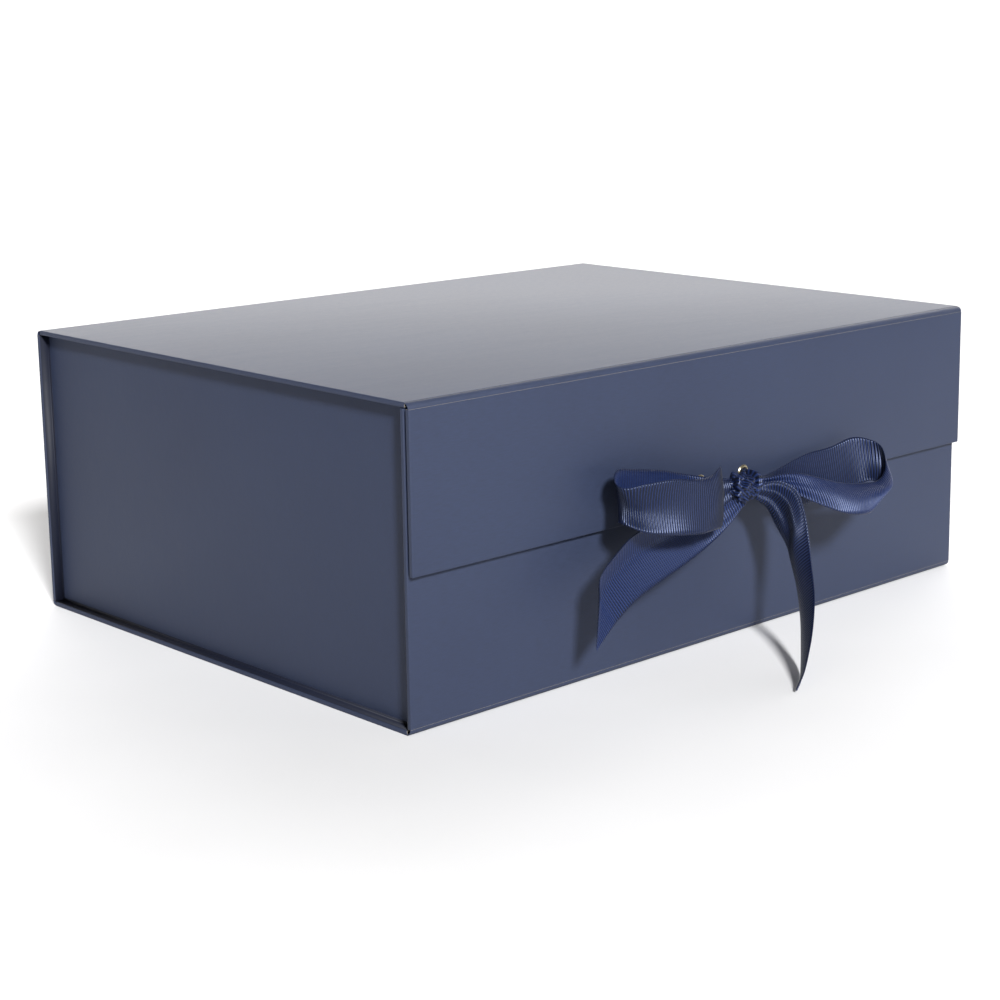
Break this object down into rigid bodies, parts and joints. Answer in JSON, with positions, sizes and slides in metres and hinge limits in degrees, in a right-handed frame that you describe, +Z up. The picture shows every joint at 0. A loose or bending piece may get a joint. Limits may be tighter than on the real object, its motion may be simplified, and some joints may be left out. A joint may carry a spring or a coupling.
{
  "type": "book-style gift box",
  "caption": "Rigid paper-covered book-style box with a hinged lid, a magnetic front flap and a tied ribbon bow on the flap.",
  "frame": {"origin": "middle of the flat underside of the base panel, on the surface that the box stands on", "axes": "+X along the case's width to the right seen from the front, +Y from the front to the spine, +Z up"},
  "size_m": [0.4, 0.3832, 0.15],
  "materials": {
    "greyboard": "matte",
    "covering_paper": "satin",
    "lining_paper": "matte",
    "tab_card": "matte",
    "tape": "matte",
    "magnet_steel": "satin",
    "eyelet_brass": "satin",
    "grosgrain": "satin"
  },
  "bodies": {
    "tray": {"base_board": "greyboard", "base_wrap": "covering_paper", "base_lining": "lining_paper", "front_board": "greyboard", "front_wrap": "covering_paper", "front_lining": "lining_paper", "spine_board": "greyboard", "spine_wrap": "covering_paper", "spine_lining": "lining_paper", "left_wall_board": "greyboard", "left_wall_wrap": "covering_paper", "left_wall_lining": "lining_paper", "right_wall_board": "greyboard", "right_wall_wrap": "covering_paper", "right_wall_lining": "lining_paper", "front_fold": "covering_paper", "spine_fold": "covering_paper", "left_joint_strip": "covering_paper", "right_joint_strip": "covering_paper", "corner_tabs": "tab_card", "tab_tape": "tape", "catch_plates": "magnet_steel"},
    "lid": {"lid_board": "greyboard", "lid_wrap": "covering_paper", "lid_lining": "lining_paper", "lid_crease": "covering_paper"},
    "flap": {"flap_board": "greyboard", "flap_wrap": "covering_paper", "flap_lining": "lining_paper", "flap_crease": "covering_paper", "flap_magnets": "magnet_steel", "left_eyelet": "eyelet_brass", "right_eyelet": "eyelet_brass", "ribbon_lacing": "grosgrain", "bow_knot": "grosgrain", "left_loop": "grosgrain", "right_loop": "grosgrain", "left_tail": "grosgrain", "right_tail": "grosgrain"}
  },
  "joints": [
    {"name": "lid_hinge", "type": "hinge", "parent": "tray", "child": "lid", "pos_m": [0, 0.14912, 0.14912], "axis": [-1, 0, 0], "range_deg": [0, 190], "deforming": ["lid_crease"]},
    {"name": "flap_hinge", "type": "hinge", "parent": "lid", "child": "flap", "pos_m": [0, -0.15292, 0.14912], "axis": [-1, 0, 0], "range_deg": [0, 90], "deforming": ["flap_crease"]}
  ]
}
